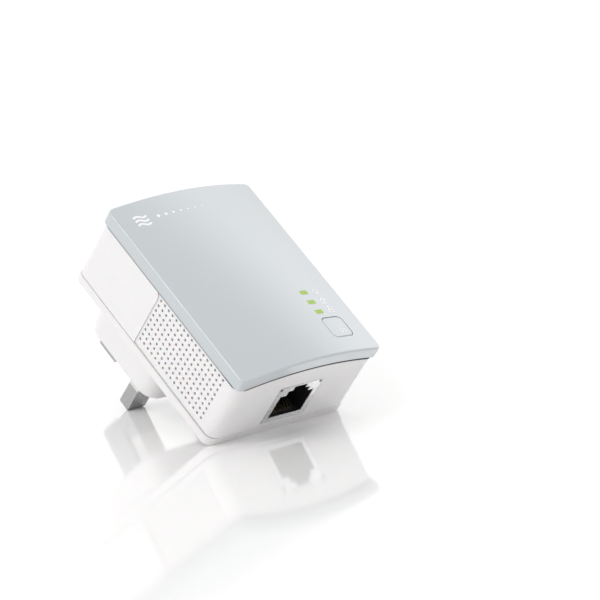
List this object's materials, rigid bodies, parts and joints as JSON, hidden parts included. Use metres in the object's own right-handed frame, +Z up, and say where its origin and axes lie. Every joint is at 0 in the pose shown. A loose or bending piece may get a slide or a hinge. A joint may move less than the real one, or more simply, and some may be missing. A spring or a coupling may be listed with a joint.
{
  "type": "powerline adapter",
  "caption": "Plug-in powerline network adapter: bowed glossy cover with status lights and a pair button, vented case, socket for a network cable below and mains plug pins behind.",
  "frame": {"origin": "on the table, under the middle of the adapter as it lies back on its plug", "axes": "+Z up from the table, +X across the face to the right seen from the front, +Y along the table from the socket end to the earth pin end"},
  "size_m": [0.052, 0.0866, 0.0615],
  "materials": {
    "screw_steel": "zinc plate",
    "chip_resin": "moulded",
    "capacitor_sleeve": "shrink sleeve",
    "case_plastic": "satin white",
    "copper_wire": "enamelled copper",
    "cover_plastic": "pearl gloss",
    "fuse_body": "glazed",
    "heat_sink_metal": "black anodised",
    "insulation_film": "film",
    "gold_contacts": "gold plate",
    "shield_metal": "tin plate",
    "guide_plastic": "clear, lit green",
    "pin_metal": "bright nickel plate",
    "sleeve_plastic": "moulded",
    "circuit_board": "solder mask",
    "button_plastic": "pearl gloss",
    "carrier_plastic": "moulded",
    "power_laminate": "bare laminate",
    "led_resin": "clear resin",
    "black_plastic": "moulded",
    "plunger_plastic": "moulded",
    "pad_silicone": "soft",
    "ferrite": "sintered",
    "winding_tape": "polyester tape",
    "blue_epoxy": "dipped",
    "yellow_box": "moulded"
  },
  "bodies": {
    "adapter": {"board_header": "black_plastic", "board_screws": "screw_steel", "bridge_rectifier": "chip_resin", "bulk_capacitor": "capacitor_sleeve", "case_body": "case_plastic", "choke_core": "ferrite", "choke_winding": "copper_wire", "coupling_transformer": "chip_resin", "crystal": "screw_steel", "earth_pin": "pin_metal", "ethernet_transformer": "chip_resin", "front_cover": "cover_plastic", "fuse": "fuse_body", "heat_sink": "heat_sink_metal", "insulating_sheet": "insulation_film", "jack_contacts": "gold_contacts", "jack_housing": "black_plastic", "jack_shield": "shield_metal", "light_guide": "guide_plastic", "line_pin": "pin_metal", "line_pin_sleeve": "sleeve_plastic", "logic_board": "circuit_board", "main_chip": "chip_resin", "memory_chip": "chip_resin", "neutral_pin": "pin_metal", "neutral_pin_sleeve": "sleeve_plastic", "optocoupler": "chip_resin", "output_capacitors": "capacitor_sleeve", "pin_carrier": "carrier_plastic", "power_board": "power_laminate", "power_controller": "chip_resin", "rear_cover": "case_plastic", "status_leds": "led_resin", "switch_base": "black_plastic", "thermal_pad": "pad_silicone", "transformer_bobbin": "black_plastic", "transformer_core": "ferrite", "transformer_winding": "winding_tape", "varistor": "blue_epoxy", "x_capacitor": "yellow_box", "y_capacitor": "blue_epoxy"},
    "button": {"pair_button": "button_plastic"},
    "plunger": {"switch_plunger": "plunger_plastic"}
  },
  "joints": [
    {"name": "button_press", "type": "slide", "parent": "adapter", "child": "button", "axis": [0, 0.6101, -0.7923], "range_m": [0, 0.0005], "stiffness_N_per_m": 300},
    {"name": "plunger_press", "type": "slide", "parent": "adapter", "child": "plunger", "axis": [0, 0.6101, -0.7923], "range_m": [0, 0.0005]}
  ],
  "couplings": [
    {"joint": "plunger_press", "follows": "button_press", "ratio": 1}
  ]
}
